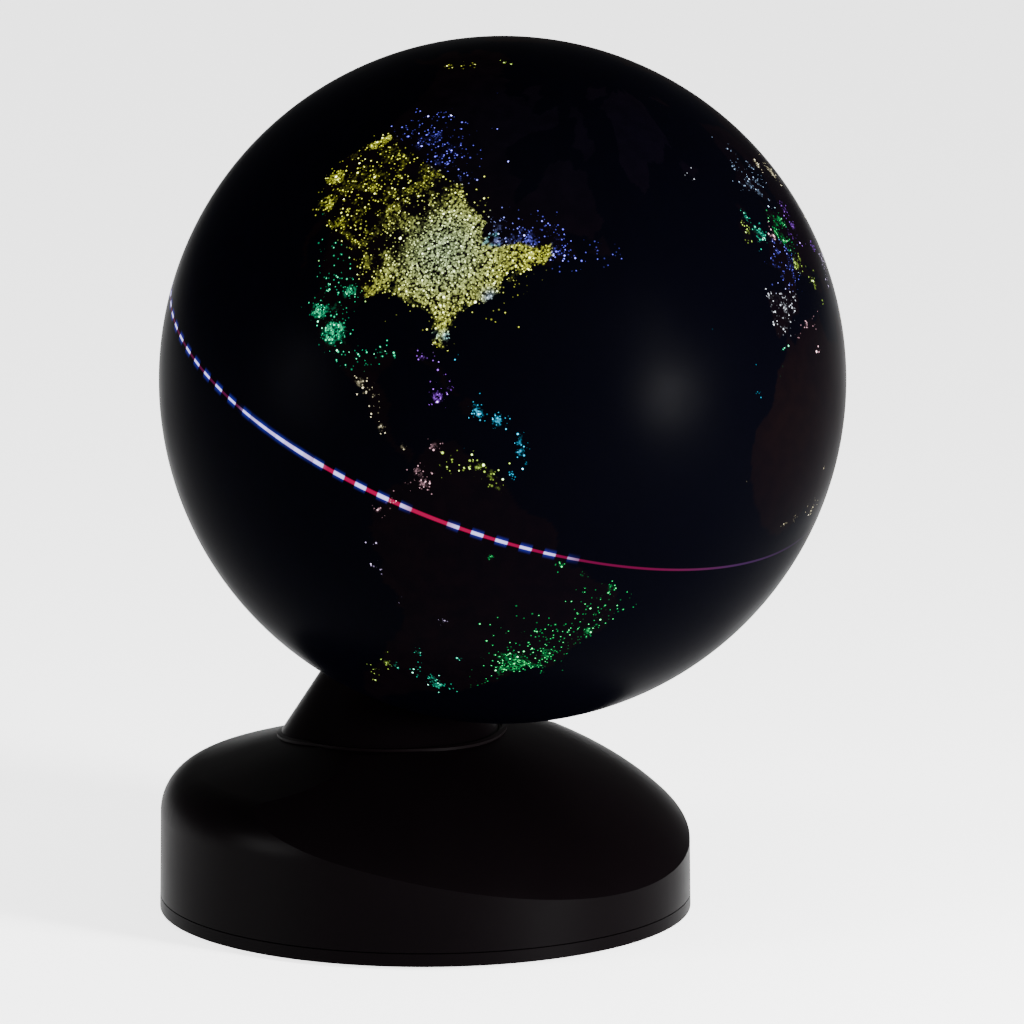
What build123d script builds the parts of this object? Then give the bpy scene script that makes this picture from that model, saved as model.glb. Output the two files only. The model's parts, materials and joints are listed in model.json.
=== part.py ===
from build123d import *
import os
from math import acos, cos, pi, radians, sin, sqrt, tan

# Desktop globe on a round base, millimetres, +Z up.
# The origin is on the floor plane under the middle of the base; the globe leans towards -Y.
# Names ending in _R are radii. "Along the spin axis" heights start at the globe's south pole.

# Globe
GLOBE_R = 127.0
GLOBE_WALL = 2.5
TILT = 23.4                       # lean of the spin axis from the vertical
GLOBE_FORWARD = 37.0              # globe centre in front of the base's middle
GLOBE_HEIGHT = 205.5              # globe centre above the floor
SHELL_HOLE_R = 16.5
SEAT_R = 31.0                     # thick flat seat inside the south shell
SEAT_Z = 7.0
LIP_HEIGHT = 6.0                  # lap joint between the half shells
LIP_R = 124.25
LIP_WALL = 1.8

# Base casing
BASE_R = 100.0                    # at the floor
SHOULDER_R = 99.3                 # where the wall meets the sloping top, before rounding
FLAT_R = 47.0                     # edge of the flat part of the top
TOP_Z = 67.0
TOP_SLOPE = 0.30
SHOULDER_FILLET = 18.0
DOME_Y = 16.3                     # flattened dome that cuts the front of the casing lower
DOME_Z = 10.4
DOME_R = 124.2
DOME_HALF_HEIGHT = 63.6
DOME_TILT = 7.4
WALL = 2.8
WALL_CUT = 11.2                   # length of the cutters that go through the wall
SEAM_Z = 6.3
SEAM_GAP = 0.4
TRAY_BOTTOM = 1.5
TRAY_FLOOR = 4.5
TRAY_RIM = 3.0
LIP_RING_R = 96.8                 # locating ring of the tray, inside the casing wall
LIP_RING_TOP = 9.5
BOSS_AT = 89.0
BOSS_R = 4.5
BOSS_ANGLES = (20, 160, 215, 325)
FOOT_AT = 78.0
FOOT_R = 8.0
FOOT_RECESS = 1.0
FOOT_ANGLES = (45, 135, 225, 315)
VENT_AT = 34.0
VENT_ANGLES = (60, 75, 90, 105, 120)
BALLAST_T = 4.0
BALLAST_R = 82.0
BALLAST_HOLE_R = 34.0
BALLAST_BACK = 8.0
BALLAST_SCREW_AT = 58.0
BALLAST_SCREW_ANGLES = (210, 270, 330)
LIP_RING_T = 2.0
BOSS_HOLE_TOP = 14.0
BASE_SCREW_TIP = 13.5
BOARD_HOLE_BOTTOM = 5.0
BOARD_SCREW_TIP = 5.2
VENT_LENGTH = 26.0
VENT_WIDTH = 3.0

# Neck
NECK_Y = 16.0                     # centre of the neck's foot
NECK_FOOT_R = 41.5
NECK_FOOT_Z = 66.0
NECK_TOP_R = 24.5
NECK_TOP = 1.2
NECK_WALL = 2.5
OPENING_R = 40.0                  # hole in the casing top under the neck
SPIGOT_R = 39.7
SPIGOT_WALL = 4.1
SPIGOT_BOTTOM = 60.0
CLAMP_R = 48.0
CLAMP_T = 2.5
CLAMP_SCREW_ANGLES = (0, 90, 180, 270)
TRIM_WIDTH = 1.8
TRIM_RISE = 1.0                   # how far the trim ring stands above the casing
TRIM_FIT = 0.05
CLAMP_SCREW_HOLE = 5.0
CLAMP_SCREW_LENGTH = 4.0
SKIRT_DEPTH = 12.0                # the neck and its trim run this far below the foot circle
SEAL_BELOW = 3.0                  # light seal, below the neck rim
SEAL_GAP = 0.4
SEAL_R = 21.8
SEAL_IN_R = 17.2

# Heights along the spin axis
PLATE_TOP = -8.0                  # web inside the neck that carries the bearing
PLATE_BOTTOM = -11.0
HOUSING_TOP = -5.0
FLANGE_BOTTOM = -14.0
HOUSING_BOTTOM = -27.0
GEAR_TOP = -29.0
GEAR_BOTTOM = -35.0
CLIP_T = 1.0
HUB_BOTTOM = -37.5
BRACKET_TOP = -41.0
BRACKET_BOTTOM = -43.0
MOTOR_STEP = -54.0
MOTOR_BOTTOM = -70.0
STEM_TOP = 92.0
SINK_TOP = 110.0

# Bearing and hub
TUBE_R = 10.0
HUB_BORE_R = 7.5
HUB_COLLAR_R = 16.0
HUB_COLLAR_BOTTOM = -4.0
HUB_FLANGE_R = 30.0
HUB_FLANGE_T = 2.5
HUB_SCREW_AT = 24.0
HUB_SCREW_ANGLES = (45, 135, 225, 315)
HUB_SCREW_DEPTH = 3.0
GEAR_SLEEVE_WALL = 2.0            # spacer sleeve moulded on the ring gear
END_PLAY = 0.5
CLIP_GAP_HALF = 2.2
CLIP_IN_R = 9.2
CLIP_OUT_R = 12.6
RUNNING_FIT = 0.05
BUSH_R = 13.0
BUSH_LENGTH = 8.0
HOUSING_R = 15.4
HOUSING_FLANGE_R = 22.5
HOUSING_SCREW_AT = 19.0
HOUSING_SCREW_ANGLES = (0, 180, 270)
WASHER_T = 0.9

# Gears, motor and bracket, about the spin axis
MODULE = 0.8
GEAR_TEETH = 60
PINION_TEETH = 15
PRESSURE_ANGLE = 25.0
BACKLASH = 0.15
FLANK_STEPS = 4                   # chords along each tooth flank
ROOT_DEPTH = 1.25                 # in modules
PINION_EXTRA = 1.0                # the pinion is wider than the gear by this, each side
GEAR_HOLES = 6
GEAR_HOLE_R = 3.6
GEAR_HOLE_AT = 17.0
SHAFT_R = 2.0
MOTOR_Y = -MODULE * (GEAR_TEETH + PINION_TEETH) / 2
GEARCASE_R = 12.5
MOTOR_R = 10.2
MOTOR_BOSS_R = 3.8
MOTOR_SCREW_X = 8.5
POST_R = 3.0
POSTS = ((-29.0, -5.0), (29.0, -5.0), (-17.0, -30.0), (17.0, -30.0))
BRACKET_X = 34.0
BRACKET_FRONT = -44.0
BRACKET_BACK = 12.0
BRACKET_CORNER_R = 5.0
POST_HOLE_DEPTH = 9.0
POST_SCREW_DEPTH = 8.0
SHAFT_DEPTH = 5.0                 # shaft inside the gearcase
SHAFT_END_GAP = 0.3
MOTOR_SCREW_HOLE = 5.0
MOTOR_SCREW_DEPTH = 4.0
TERMINAL_X = 4.0
TERMINAL_HALF = 1.0
TERMINAL_HALF_T = 0.3
TERMINAL_LENGTH = 2.5

# Lamp on the fixed stem, about the spin axis
STEM_R = 5.0
STEM_BORE_R = 3.4
NUT_T = 4.0
STEM_FLANGE_R = 8.0
STEM_FLANGE_T = 1.6
SINK_SLEEVE = 8.0                 # how far the heat sink slips over the stem
SINK_PLATE_T = 2.5
FIN_HALF_T = 0.7
FIN_DROP = 4.0
SINK_R = 14.5
SINK_FINS = 12
SINK_HUB_R = 8.0
LED_BOARD_R = 13.0
LED_CHIPS = 6
LED_CHIP_HALF = 1.6
LED_CHIP_H = 0.9
LED_CHIP_AT = 8.0
DIFFUSER_WALL = 1.4
DIFFUSER_RISE = 6.0

# Boards, inlet and buttons
BOARD_Z = 10.0
BOARD_T = 1.6
BOARD_HALF = 30.0
BOARD_FRONT = 46.0
BOARD_BACK = 88.0
BOARD_SCREWS = ((-26.0, 50.0), (26.0, 50.0), (-26.0, 74.0), (26.0, 74.0))
BOARD_POST_R = 3.2
JACK_Z = 17.0
JACK_HALF = 4.5
JACK_FRONT = 83.5
JACK_STEP = 95.5
JACK_FACE = 99.0
JACK_BARREL_R = 4.4
JACK_BORE_R = 2.8
JACK_DEPTH = 9.5
JACK_PIN_R = 1.0
BUTTON_ANGLE = 15.0               # either side of straight back
BUTTON_R = 5.0
BUTTON_GAP = 0.3
BUTTON_PROUD = 1.8
BUTTON_FLANGE_R = 6.6
BUTTON_FLANGE_TOP = -4.4
BUTTON_FLANGE_BOTTOM = -6.2
PLUNGER_R = 1.6
PLUNGER_END = -8.0
SWITCH_TOP = -10.2
SWITCH_BACK = -14.0
SWITCH_HALF = 3.2
SWITCH_NUB = 0.7
LEAD_R = 1.2
LEAD_BEND_R = 3.5
LEAD_DROP = 9.0                   # straight run down onto the board
LEAD_GAP = 0.1                    # between the motor lead and the motor can
LAMP_LEAD_BEND = 14.0             # below the stem nut
LAMP_LEAD_Y = 60.0
MOTOR_LEAD_RISE = 6.0             # above the lower end of the motor can
MOTOR_LEAD_RUN = 8.0
MOTOR_LEAD_X = -16.0
MOTOR_LEAD_Y = 54.0
CHIP_X = -12.0
CHIP_Y = 62.0
CHIP_SIDE = 8.0
CHIP_H = 1.2
CAPACITORS = ((14.0, 66.0), (-20.0, 64.0))
CAPACITOR_R = 4.0
CAPACITOR_H = 9.0
BUTTON_EDGE_R = 1.0

# Screws
SCREW_R = 1.5
HEAD_R = 3.2
HEAD_H = 1.6
SMALL_SCREW_R = 1.25
SMALL_HEAD_R = 2.3
SMALL_HEAD_H = 1.4
CLEARANCE = 0.2
SLOT_HALF = 0.4
OVER = 1.0                        # how far a cutting tool runs past a face
FAR = 300.0                       # larger than anything here

tilt = radians(TILT)
axis = Vector(0, -sin(tilt), cos(tilt))
globe_centre = Vector(0, -GLOBE_FORWARD, GLOBE_HEIGHT)
south_pole = globe_centre - axis * GLOBE_R
spin_frame = Plane(origin=south_pole, x_dir=(1, 0, 0), z_dir=axis)
board_top = BOARD_Z + BOARD_T
ballast_top = TRAY_FLOOR + BALLAST_T


# ------------------------------------------------------------------- helpers

def on_axis(shape):
    """Move a shape drawn about the spin axis, z = 0 at the south pole, to its place."""
    return spin_frame.location * shape


def disc(r, z0, z1, x=0.0, y=0.0):
    """Upright cylinder between two heights."""
    return Pos(x, y, z0) * Cylinder(r, z1 - z0, align=(Align.CENTER, Align.CENTER, Align.MIN))


def ring(r_out, r_in, z0, z1, x=0.0, y=0.0):
    """Upright tube between two heights."""
    return disc(r_out, z0, z1, x, y) - disc(r_in, z0 - OVER, z1 + OVER, x, y)


def block(x0, x1, y0, y1, z0, z1):
    """Box between two corners."""
    middle = Pos((x0 + x1) / 2, (y0 + y1) / 2, (z0 + z1) / 2)
    return middle * Box(x1 - x0, y1 - y0, z1 - z0)


def polar(r, degrees):
    """Point on a circle about the origin, degrees from +X."""
    return r * cos(radians(degrees)), r * sin(radians(degrees))


def around(r, angles):
    return [polar(r, degrees) for degrees in angles]


def pan_screw(x, y, seat_z, tip_z, r, head_r, head_h):
    """Slotted pan-head screw along Z; the head bears on seat_z and the shank runs to tip_z."""
    away = 1 if tip_z < seat_z else -1
    top = seat_z + away * head_h
    middle = seat_z + away * head_h / 2
    head = disc(head_r, min(seat_z, top), max(seat_z, top), x, y)
    shank = disc(r, min(seat_z, tip_z), max(seat_z, tip_z), x, y)
    slot = block(x - head_r, x + head_r, y - SLOT_HALF, y + SLOT_HALF, min(middle, top), max(middle, top))
    return head + shank - slot


def screw(place, seat_z, tip_z):
    return pan_screw(*place, seat_z, tip_z, SCREW_R, HEAD_R, HEAD_H)


def small_screw(place, seat_z, tip_z):
    return pan_screw(*place, seat_z, tip_z, SMALL_SCREW_R, SMALL_HEAD_R, SMALL_HEAD_H)


def holes(places, r, z0, z1):
    """Cutting cylinders at several places."""
    cutters = Part()
    for x, y in places:
        cutters += disc(r, z0, z1, x, y)
    return cutters


def group(shapes):
    """Separate solids that share one node."""
    solids = []
    for shape in shapes:
        solids += shape.solids()
    return Compound(children=solids)


bosses = around(BOSS_AT, BOSS_ANGLES)
feet = around(FOOT_AT, FOOT_ANGLES)
ballast_screw_places = around(BALLAST_SCREW_AT, BALLAST_SCREW_ANGLES)
clamp_screw_places = [
    (x, y + NECK_Y) for x, y in around(SPIGOT_R - SPIGOT_WALL / 2, CLAMP_SCREW_ANGLES)
]
housing_screw_places = around(HOUSING_SCREW_AT, HOUSING_SCREW_ANGLES)
hub_screw_places = around(HUB_SCREW_AT, HUB_SCREW_ANGLES)
motor_screw_places = ((-MOTOR_SCREW_X, MOTOR_Y), (MOTOR_SCREW_X, MOTOR_Y))


# ---------------------------------------------------------------- base casing

def casing_body(inset):
    """The base's outer form, or with an inset, the hollow inside its wall."""
    drop = inset * sqrt(1 + TOP_SLOPE ** 2)
    shoulder_z = TOP_Z - drop - TOP_SLOPE * (SHOULDER_R - inset - FLAT_R)
    outline = make_face(Polyline(
        (0, 0), (BASE_R - inset, 0), (SHOULDER_R - inset, shoulder_z),
        (FLAT_R, TOP_Z - drop), (0, TOP_Z - drop), close=True,
    ))
    corner = outline.vertices().sort_by(lambda v: v.X + v.Y)[-1]
    outline = fillet(corner, SHOULDER_FILLET - inset)
    turned = revolve(Plane.XZ * outline, Axis.Z, 360)

    a, b = DOME_R - inset, DOME_HALF_HEIGHT - inset
    half = make_face([Line((0, b), (0, -b)), EllipticalCenterArc((0, 0), a, b, -90, arc_size=180)])
    dome = revolve(Plane.XZ * half, Axis.Z, 360)
    return turned & (Pos(0, DOME_Y, DOME_Z) * Rot(DOME_TILT, 0, 0) * dome)


casing_outside = casing_body(0)
casing_inside = casing_body(WALL)


def button_frame(side):
    """Where a button sits on the back wall: local Z points out of the casing."""
    outward = Vector(*polar(1, 90 - side * BUTTON_ANGLE), 0)
    place = outward * BASE_R + Vector(0, 0, JACK_Z)
    return Plane(origin=place, x_dir=(0, 0, 1), z_dir=outward).location


def upper_base_shell():
    above_seam = block(-FAR, FAR, -FAR, FAR, SEAM_Z + SEAM_GAP, FAR)
    shell = (casing_outside & above_seam) - casing_inside
    room = casing_outside & block(-FAR, FAR, -FAR, FAR, TRAY_FLOOR, FAR)
    for x, y in bosses:
        shell += disc(BOSS_R, TRAY_FLOOR, TOP_Z, x, y) & room
    shell -= holes(bosses, SCREW_R, TRAY_FLOOR - OVER, BOSS_HOLE_TOP)
    shell -= disc(OPENING_R, 0, TOP_Z + OVER, 0, NECK_Y)
    shell -= Pos(0, BASE_R, JACK_Z) * Rot(90, 0, 0) * Cylinder(JACK_BARREL_R + BUTTON_GAP, WALL_CUT)
    for side in (-1, 1):
        shell -= button_frame(side) * Cylinder(BUTTON_R + BUTTON_GAP, WALL_CUT)
    return shell


def bottom_tray():
    tray = disc(BASE_R, TRAY_BOTTOM, TRAY_FLOOR) + ring(BASE_R, BASE_R - TRAY_RIM, TRAY_BOTTOM, SEAM_Z)
    tray += ring(LIP_RING_R, LIP_RING_R - LIP_RING_T, TRAY_BOTTOM, LIP_RING_TOP)
    tray += ring(LIP_RING_R + OVER, LIP_RING_R - LIP_RING_T, TRAY_BOTTOM, SEAM_Z)
    tray = tray & casing_outside
    tray += holes(BOARD_SCREWS, BOARD_POST_R, TRAY_FLOOR - OVER, BOARD_Z)
    tray -= holes(BOARD_SCREWS, SMALL_SCREW_R, BOARD_HOLE_BOTTOM, BOARD_Z + OVER)
    tray -= holes(bosses, SCREW_R + CLEARANCE, 0, TRAY_FLOOR + OVER)
    tray -= holes(bosses, HEAD_R + 2 * CLEARANCE, 0, TRAY_BOTTOM + HEAD_H + CLEARANCE)
    tray -= holes(feet, FOOT_R, 0, TRAY_BOTTOM + FOOT_RECESS)
    tray -= holes(ballast_screw_places, SCREW_R, TRAY_BOTTOM + OVER, FAR)
    slot = extrude(SlotOverall(VENT_LENGTH, VENT_WIDTH), amount=FAR, both=True)
    for degrees in VENT_ANGLES:
        tray -= Rot(0, 0, degrees) * Pos(VENT_AT, 0, 0) * slot
    return tray


def rubber_feet():
    shapes = []
    for x, y in feet:
        foot = disc(FOOT_R - CLEARANCE, 0, TRAY_BOTTOM + FOOT_RECESS, x, y)
        shapes.append(chamfer(foot.edges().group_by(Axis.Z)[0], FOOT_RECESS / 2))
    return group(shapes)


def base_screws():
    seat = TRAY_BOTTOM + HEAD_H + CLEARANCE
    return group([screw(place, seat, BASE_SCREW_TIP) for place in bosses])


def ballast_plate():
    plate = ring(BALLAST_R, BALLAST_HOLE_R, TRAY_FLOOR, ballast_top)
    plate -= block(-FAR, FAR, BALLAST_BACK, FAR, 0, FAR)
    return plate - holes(ballast_screw_places, SCREW_R + CLEARANCE, 0, FAR)


def ballast_screws():
    tip = TRAY_BOTTOM + OVER + CLEARANCE
    return group([screw(place, ballast_top, tip) for place in ballast_screw_places])


# ----------------------------------------------------------------------- neck

def neck_form(inset, lift):
    """Slanted cone from the level foot circle to a rim square to the spin axis."""
    foot = Pos(0, NECK_Y, NECK_FOOT_Z) * Circle(NECK_FOOT_R - inset)
    rim = on_axis(Pos(0, 0, NECK_TOP + lift) * Circle(NECK_TOP_R - inset))
    return loft([foot.face(), rim.face()], ruled=True)


def neck_collar():
    skirt = disc(NECK_FOOT_R, NECK_FOOT_Z - SKIRT_DEPTH, NECK_FOOT_Z, 0, NECK_Y)
    spigot_in_r = SPIGOT_R - SPIGOT_WALL
    spigot = ring(SPIGOT_R, spigot_in_r, SPIGOT_BOTTOM, NECK_FOOT_Z + OVER / 2, 0, NECK_Y)
    hollow = neck_form(NECK_WALL, OVER) + disc(spigot_in_r, 0, NECK_FOOT_Z + OVER / 2, 0, NECK_Y)
    collar = (neck_form(0, 0) + skirt) - casing_outside - hollow + spigot
    web = on_axis(block(-FAR, FAR, -FAR, FAR, PLATE_BOTTOM, PLATE_TOP))
    collar += web & hollow & disc(FAR, SPIGOT_BOTTOM, FAR)
    collar += on_axis(holes(POSTS, POST_R, BRACKET_TOP, PLATE_BOTTOM + OVER))
    collar -= on_axis(holes(POSTS, SMALL_SCREW_R, BRACKET_TOP - OVER, BRACKET_TOP + POST_HOLE_DEPTH))
    collar -= on_axis(disc(HOUSING_R + CLEARANCE, PLATE_BOTTOM - OVER, PLATE_TOP + OVER))
    collar -= on_axis(holes(housing_screw_places, SMALL_SCREW_R, PLATE_BOTTOM - OVER, PLATE_TOP + OVER))
    tap = holes(clamp_screw_places, SMALL_SCREW_R, SPIGOT_BOTTOM - OVER, SPIGOT_BOTTOM + CLAMP_SCREW_HOLE)
    return collar - tap


def neck_clamp_ring():
    """Ring under the casing top that pulls the neck's spigot down."""
    bottom = SPIGOT_BOTTOM - CLAMP_T
    clamp = ring(CLAMP_R, SPIGOT_R - SPIGOT_WALL, bottom, SPIGOT_BOTTOM, 0, NECK_Y)
    clamp += ring(CLAMP_R, SPIGOT_R + CLEARANCE, bottom, TOP_Z, 0, NECK_Y)
    clamp -= holes(clamp_screw_places, SMALL_SCREW_R + CLEARANCE, 0, FAR)
    return clamp & casing_inside


def neck_clamp_screws():
    bottom = SPIGOT_BOTTOM - CLAMP_T
    tip = SPIGOT_BOTTOM + CLAMP_SCREW_LENGTH
    return group([small_screw(place, bottom, tip) for place in clamp_screw_places])


def neck_trim_ring():
    trim = ring(NECK_FOOT_R + TRIM_WIDTH, NECK_FOOT_R + TRIM_FIT, NECK_FOOT_Z - SKIRT_DEPTH, FAR, 0, NECK_Y)
    raised = Pos(0, 0, TRIM_RISE) * casing_outside
    return (trim & raised) - casing_outside


def light_seal():
    return on_axis(ring(SEAL_R, SEAL_IN_R, NECK_TOP - SEAL_BELOW, NECK_TOP - SEAL_GAP))


def bearing_housing():
    body = ring(HOUSING_R, BUSH_R, HOUSING_BOTTOM, HOUSING_TOP)
    body += ring(HOUSING_FLANGE_R, BUSH_R, FLANGE_BOTTOM, PLATE_BOTTOM)
    body -= holes(housing_screw_places, SMALL_SCREW_R + CLEARANCE, FLANGE_BOTTOM - OVER, PLATE_BOTTOM + OVER)
    return on_axis(body)


def housing_screws():
    return on_axis(group([small_screw(p, FLANGE_BOTTOM, PLATE_TOP) for p in housing_screw_places]))


def bush(bottom):
    return on_axis(ring(BUSH_R, TUBE_R + RUNNING_FIT, bottom, bottom + BUSH_LENGTH))


def thrust_washer():
    return on_axis(ring(HOUSING_R - CLEARANCE, TUBE_R + CLEARANCE, HOUSING_TOP, HOUSING_TOP + WASHER_T))


# ---------------------------------------------------------------------- globe

def hollow_globe():
    return Pos(0, 0, GLOBE_R) * (Sphere(GLOBE_R) - Sphere(GLOBE_R - GLOBE_WALL))


def globe_north_shell():
    return on_axis(hollow_globe() & disc(FAR, GLOBE_R, FAR))


def globe_south_shell():
    shell = hollow_globe() & disc(FAR, -OVER, GLOBE_R)
    root = ring(GLOBE_R - GLOBE_WALL + OVER, LIP_R - LIP_WALL, GLOBE_R - LIP_HEIGHT, GLOBE_R)
    shell += root & (Pos(0, 0, GLOBE_R) * Sphere(GLOBE_R - OVER))
    shell += ring(LIP_R, LIP_R - LIP_WALL, GLOBE_R, GLOBE_R + LIP_HEIGHT)
    shell += disc(SEAT_R, 0, SEAT_Z) & (Pos(0, 0, GLOBE_R) * Sphere(GLOBE_R))
    shell -= disc(SHELL_HOLE_R, -OVER, SEAT_Z + OVER)
    shell -= holes(hub_screw_places, SCREW_R, SEAT_Z - HUB_SCREW_DEPTH, SEAT_Z + OVER)
    return on_axis(shell)


def globe_hub():
    hub = disc(HUB_FLANGE_R, SEAT_Z, SEAT_Z + HUB_FLANGE_T)
    hub += disc(HUB_COLLAR_R, HUB_COLLAR_BOTTOM, SEAT_Z)
    hub += disc(TUBE_R, HUB_BOTTOM, HUB_COLLAR_BOTTOM)
    hub -= disc(HUB_BORE_R, HUB_BOTTOM - OVER, FAR)
    hub -= ring(TUBE_R + OVER, CLIP_IN_R, GEAR_BOTTOM - CLIP_T, GEAR_BOTTOM)
    hub -= holes(hub_screw_places, SCREW_R + CLEARANCE, SEAT_Z - OVER, FAR)
    return on_axis(hub)


def hub_screws():
    seat = SEAT_Z + HUB_FLANGE_T
    tip = SEAT_Z - HUB_SCREW_DEPTH + CLEARANCE
    return on_axis(group([screw(place, seat, tip) for place in hub_screw_places]))


def retaining_ring():
    clip = ring(CLIP_OUT_R, CLIP_IN_R, GEAR_BOTTOM - CLIP_T, GEAR_BOTTOM)
    return on_axis(clip - block(-CLIP_GAP_HALF, CLIP_GAP_HALF, 0, FAR, -FAR, FAR))


# ---------------------------------------------------------------------- gears

def involute(angle):
    return tan(angle) - angle


def spur_gear(teeth, z0, z1, bore_r):
    """Involute spur gear about Z, with a tooth centred on +X."""
    pitch_r = MODULE * teeth / 2
    base_r = pitch_r * cos(radians(PRESSURE_ANGLE))
    tip_r = pitch_r + MODULE
    root_r = pitch_r - ROOT_DEPTH * MODULE
    start_r = max(base_r, root_r)
    pitch_half = (pi * MODULE / 2 - BACKLASH) / 2 / pitch_r
    rising = []
    for step in range(FLANK_STEPS + 1):
        r = start_r + (tip_r - start_r) * step / FLANK_STEPS
        half = pitch_half + involute(radians(PRESSURE_ANGLE)) - involute(acos(min(1, base_r / r)))
        rising.append((r, -half))
    if root_r < start_r:
        rising.insert(0, (root_r, rising[0][1]))
    tooth = rising + [(r, -angle) for r, angle in reversed(rising)]
    outline = []
    for count in range(teeth):
        turn = 2 * pi * count / teeth
        outline += [(r * cos(turn + angle), r * sin(turn + angle)) for r, angle in tooth]
    gear = Pos(0, 0, z0) * extrude(make_face(Polyline(*outline, close=True)), amount=z1 - z0)
    return gear - disc(bore_r, z0 - OVER, z1 + OVER)


def ring_gear():
    gear = spur_gear(GEAR_TEETH, GEAR_BOTTOM, GEAR_TOP, TUBE_R)
    gear += ring(TUBE_R + GEAR_SLEEVE_WALL, TUBE_R, GEAR_TOP, HOUSING_BOTTOM - END_PLAY)
    places = around(GEAR_HOLE_AT, range(0, 360, 360 // GEAR_HOLES))
    return on_axis(gear - holes(places, GEAR_HOLE_R, -FAR, GEAR_TOP + OVER))


def drive_pinion():
    """Meshes in front of the ring gear, turned so that a gap faces the gear's tooth."""
    pinion = spur_gear(PINION_TEETH, GEAR_BOTTOM - PINION_EXTRA, GEAR_TOP + PINION_EXTRA, SHAFT_R)
    return on_axis(Pos(0, MOTOR_Y, 0) * Rot(0, 0, 90 + 180 / PINION_TEETH) * pinion)


def motor_shaft():
    return on_axis(disc(SHAFT_R, BRACKET_BOTTOM - SHAFT_DEPTH, GEAR_TOP + 2 * PINION_EXTRA, 0, MOTOR_Y))


# ---------------------------------------------------------- motor and bracket

def motor_bracket():
    plate = block(-BRACKET_X, BRACKET_X, BRACKET_FRONT, BRACKET_BACK, BRACKET_BOTTOM, BRACKET_TOP)
    plate = fillet(plate.edges().filter_by(Axis.Z), BRACKET_CORNER_R)
    plate -= disc(MOTOR_BOSS_R + CLEARANCE, -FAR, FAR, 0, MOTOR_Y)
    plate -= disc(STEM_R, -FAR, FAR)
    plate -= holes(POSTS, SMALL_SCREW_R + CLEARANCE, -FAR, FAR)
    plate -= holes(motor_screw_places, SMALL_SCREW_R + CLEARANCE, -FAR, FAR)
    return on_axis(plate)


def bracket_screws():
    tip = BRACKET_TOP + POST_SCREW_DEPTH
    return on_axis(group([small_screw(place, BRACKET_BOTTOM, tip) for place in POSTS]))


def gear_motor():
    body = disc(GEARCASE_R, MOTOR_STEP, BRACKET_BOTTOM, 0, MOTOR_Y)
    body += disc(MOTOR_R, MOTOR_BOTTOM, MOTOR_STEP, 0, MOTOR_Y)
    body += disc(MOTOR_BOSS_R, BRACKET_BOTTOM, BRACKET_TOP + 1, 0, MOTOR_Y)
    for x in (-TERMINAL_X, TERMINAL_X):
        body += block(
            x - TERMINAL_HALF, x + TERMINAL_HALF, MOTOR_Y - TERMINAL_HALF_T, MOTOR_Y + TERMINAL_HALF_T,
            MOTOR_BOTTOM - TERMINAL_LENGTH, MOTOR_BOTTOM,
        )
    body -= disc(SHAFT_R + RUNNING_FIT, BRACKET_BOTTOM - SHAFT_DEPTH - SHAFT_END_GAP, FAR, 0, MOTOR_Y)
    tap_bottom = BRACKET_BOTTOM - MOTOR_SCREW_HOLE
    return on_axis(body - holes(motor_screw_places, SMALL_SCREW_R, tap_bottom, FAR))


def motor_screws():
    tip = BRACKET_BOTTOM - MOTOR_SCREW_DEPTH
    return on_axis(group([small_screw(place, BRACKET_TOP, tip) for place in motor_screw_places]))


# ----------------------------------------------------------------------- lamp

def lamp_stem():
    stem = disc(STEM_R, BRACKET_BOTTOM - NUT_T - OVER, STEM_TOP)
    stem += disc(STEM_FLANGE_R, BRACKET_TOP, BRACKET_TOP + STEM_FLANGE_T)
    return on_axis(stem - disc(STEM_BORE_R, -FAR, FAR))


def stem_nut():
    nut = extrude(RegularPolygon(STEM_FLANGE_R, 6), amount=NUT_T) - disc(STEM_R, -OVER, FAR)
    return on_axis(Pos(0, 0, BRACKET_BOTTOM - NUT_T) * nut)


def lamp_heat_sink():
    sink = disc(SINK_HUB_R, STEM_TOP - SINK_SLEEVE, SINK_TOP)
    sink += disc(SINK_R, SINK_TOP - SINK_PLATE_T, SINK_TOP)
    blade = block(SINK_HUB_R - OVER, SINK_R, -FIN_HALF_T, FIN_HALF_T, STEM_TOP - FIN_DROP, SINK_TOP - OVER)
    for fin in range(SINK_FINS):
        sink += Rot(0, 0, 360 * fin / SINK_FINS) * blade
    sink -= disc(STEM_R, STEM_TOP - FAR, STEM_TOP)
    return on_axis(sink - disc(STEM_BORE_R, 0, FAR))


def led_board():
    top = SINK_TOP + BOARD_T
    board = disc(LED_BOARD_R, SINK_TOP, top)
    for x, y in [(0, 0)] + around(LED_CHIP_AT, range(0, 360, 360 // LED_CHIPS)):
        board += Pos(x, y, 0) * block(
            -LED_CHIP_HALF, LED_CHIP_HALF, -LED_CHIP_HALF, LED_CHIP_HALF, top, top + LED_CHIP_H,
        )
    return on_axis(board)


def lamp_diffuser():
    def form(r, bottom):
        above = disc(FAR, SINK_TOP + DIFFUSER_RISE, FAR)
        cap = (Pos(0, 0, SINK_TOP + DIFFUSER_RISE) * Sphere(r)) & above
        return cap + disc(r, bottom, SINK_TOP + DIFFUSER_RISE)
    return on_axis(form(SINK_R, SINK_TOP) - form(SINK_R - DIFFUSER_WALL, SINK_TOP - OVER))


def lead(points):
    """Insulated wires as one round tube: straight runs joined by tangent arcs."""
    path = FilletPolyline(*points, radius=LEAD_BEND_R)
    return sweep(Plane(origin=path @ 0, z_dir=path % 0) * Circle(LEAD_R), path=path)


def lamp_lead():
    top = spin_frame.from_local_coords(Vector(0, 0, SINK_TOP))
    below = spin_frame.from_local_coords(Vector(0, 0, BRACKET_BOTTOM - NUT_T - LAMP_LEAD_BEND))
    end = Vector(below.X, LAMP_LEAD_Y, board_top)
    return lead([top, below, end + Vector(0, 0, LEAD_DROP), end])


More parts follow.
